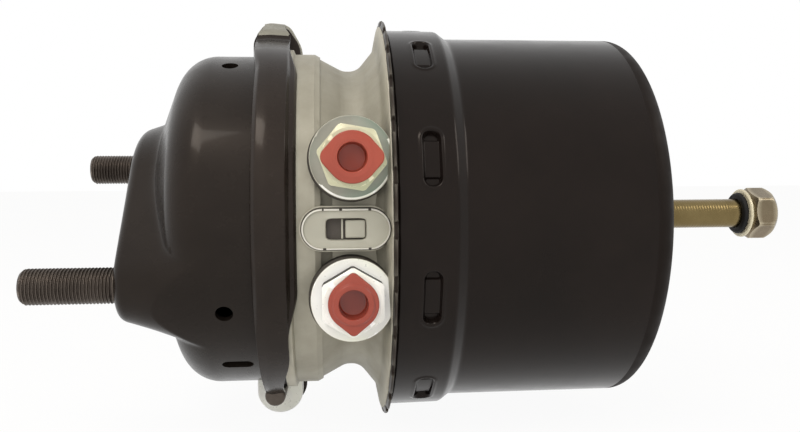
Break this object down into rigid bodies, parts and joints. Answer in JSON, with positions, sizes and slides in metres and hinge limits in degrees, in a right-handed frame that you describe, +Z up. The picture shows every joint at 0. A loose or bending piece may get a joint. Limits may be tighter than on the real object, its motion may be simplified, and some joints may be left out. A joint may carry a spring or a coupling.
{
  "type": "air brake chamber",
  "caption": "Disc-brake air chamber: service bowl with stud pad, clamp ring, cast middle with plugged air ports, spring housing and caging bolt.",
  "frame": {"origin": "where the push-rod axis meets the mounting face, midway between the two studs", "axes": "+X along the axis from the mounting face to the release bolt, -Y towards the air ports, +Z up across the ports"},
  "size_m": [0.3696, 0.1985, 0.1978],
  "materials": {
    "black_paint": "gloss black paint over pressed steel",
    "ring_paint": "satin black paint",
    "cast_alloy": "as-cast aluminium, warm grey",
    "dark_steel": "dark oiled steel",
    "yellow_zinc": "yellow zinc plating",
    "grey_zinc": "zinc plating with a faint yellow tint",
    "plug_plastic": "glossy red plastic",
    "cover_plastic": "beige plastic",
    "felt": "dark filter felt",
    "black_rubber": "black moulded rubber",
    "guide_plastic": "dark filled plastic",
    "spring_steel": "phosphated spring steel",
    "bright_steel": "ground and polished steel"
  },
  "bodies": {
    "chamber": {"service_housing": "black_paint", "mounting_studs": "dark_steel", "rod_seal": "black_rubber", "rod_boot": "black_rubber", "return_spring": "spring_steel", "diaphragm": "black_rubber", "clamp_half_front": "ring_paint", "clamp_half_rear": "ring_paint", "clamp_bolts": "dark_steel", "clamp_nuts": "dark_steel", "flange_housing": "cast_alloy", "tube_guide": "guide_plastic", "tube_seals": "black_rubber", "housing_o_ring": "black_rubber", "breather_cover": "cover_plastic", "breather_filter": "felt", "port_fitting_upper": "grey_zinc", "port_fitting_lower": "grey_zinc", "spring_housing": "black_paint", "lock_ring": "ring_paint", "power_spring": "spring_steel", "release_nut": "grey_zinc"},
    "push_rod_group": {"push_rod": "bright_steel", "push_plate": "grey_zinc"},
    "piston_group": {"parking_piston": "cast_alloy", "piston_seal": "black_rubber", "piston_guide_ring": "guide_plastic", "piston_tube": "bright_steel", "tube_end_cap": "bright_steel"},
    "release_bolt": {"release_bolt": "yellow_zinc", "bolt_seal_ring": "black_rubber", "thrust_collar": "bright_steel", "retaining_clip": "dark_steel"},
    "upper_plug": {"port_plug_upper": "plug_plastic"},
    "lower_plug": {"port_plug_lower": "plug_plastic"}
  },
  "joints": [
    {"name": "parking_stroke", "type": "slide", "parent": "chamber", "child": "piston_group", "axis": [-1, 0, 0], "range_m": [0, 0.057], "deforming": ["power_spring"]},
    {"name": "service_stroke", "type": "slide", "parent": "chamber", "child": "push_rod_group", "axis": [-1, 0, 0], "range_m": [0, 0.057], "deforming": ["return_spring", "rod_boot", "diaphragm"]},
    {"name": "release_bolt_turn", "type": "hinge", "parent": "piston_group", "child": "release_bolt", "pos_m": [0.16, 0, 0], "axis": [-1, 0, 0], "range_deg": [0, 6841]},
    {"name": "upper_plug_pull", "type": "slide", "parent": "chamber", "child": "upper_plug", "axis": [0, -1, 0], "range_m": [0, 0.03]},
    {"name": "lower_plug_pull", "type": "slide", "parent": "chamber", "child": "lower_plug", "axis": [0, -1, 0], "range_m": [0, 0.03]}
  ],
  "couplings": [
    {"joint": "service_stroke", "follows": "parking_stroke", "ratio": 1},
    {"joint": "release_bolt_turn", "follows": "parking_stroke", "rad_per_m": 2094.4}
  ]
}
